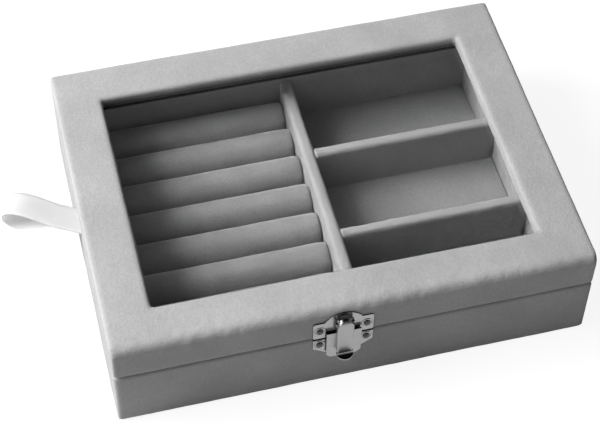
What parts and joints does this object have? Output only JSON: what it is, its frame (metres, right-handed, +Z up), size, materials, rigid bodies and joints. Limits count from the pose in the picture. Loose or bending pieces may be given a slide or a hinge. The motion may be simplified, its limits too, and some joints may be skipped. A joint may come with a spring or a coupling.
{
  "type": "ring display box",
  "caption": "Flat velvet-wrapped jewellery box with a glazed hinged lid, soft ring rolls, open bays, a swinging front latch and a ribbon lid stay.",
  "frame": {"origin": "middle of the flat underside, on the surface the box stands on", "axes": "+Z up, -Y towards the front with the latch, +X to the right seen from the front"},
  "size_m": [0.2312, 0.1612, 0.049],
  "materials": {
    "outer_velvet": "grey short-pile velvet wrapped over board",
    "lining_velvet": "grey short-pile velvet lining over card",
    "roll_velvet": "grey velvet over soft foam",
    "pane_glass": "clear float glass",
    "nickel_plate": "stamped steel, bright nickel plate",
    "satin_ribbon": "white satin ribbon"
  },
  "bodies": {
    "base": {"base_walls": "outer_velvet", "bottom_board": "outer_velvet", "front_liner": "lining_velvet", "back_liner": "lining_velvet", "left_liner": "lining_velvet", "right_liner": "lining_velvet", "long_divider": "lining_velvet", "rear_cross_divider": "lining_velvet", "front_cross_divider": "lining_velvet", "rear_bay_card": "lining_velvet", "middle_bay_card": "lining_velvet", "front_bay_card": "lining_velvet", "roll_bed": "lining_velvet", "ring_roll_1": "roll_velvet", "ring_roll_2": "roll_velvet", "ring_roll_3": "roll_velvet", "ring_roll_4": "roll_velvet", "ring_roll_5": "roll_velvet", "ring_roll_6": "roll_velvet", "ring_roll_7": "roll_velvet", "ring_roll_8": "roll_velvet", "left_hinge_base_leaf": "nickel_plate", "left_hinge_pin": "nickel_plate", "right_hinge_base_leaf": "nickel_plate", "right_hinge_pin": "nickel_plate", "base_hinge_nails": "nickel_plate", "latch_base_plate": "nickel_plate", "base_latch_nails": "nickel_plate", "stay_ribbon": "satin_ribbon"},
    "lid": {"lid_frame": "outer_velvet", "glass_pane": "pane_glass", "pane_retainer": "lining_velvet", "left_hinge_lid_leaf": "nickel_plate", "right_hinge_lid_leaf": "nickel_plate", "lid_hinge_nails": "nickel_plate", "latch_lid_plate": "nickel_plate", "latch_pin": "nickel_plate", "lid_latch_nails": "nickel_plate"},
    "latch": {"latch_tongue": "nickel_plate"}
  },
  "joints": [
    {"name": "lid_hinge", "type": "hinge", "parent": "base", "child": "lid", "pos_m": [0, 0.0772, 0.0316], "axis": [-1, 0, 0], "range_deg": [0, 95], "deforming": ["stay_ribbon"]},
    {"name": "latch_swing", "type": "hinge", "parent": "lid", "child": "latch", "pos_m": [-0.0066, -0.0774, 0.0426], "axis": [-1, 0, 0], "range_deg": [0, 110]}
  ]
}
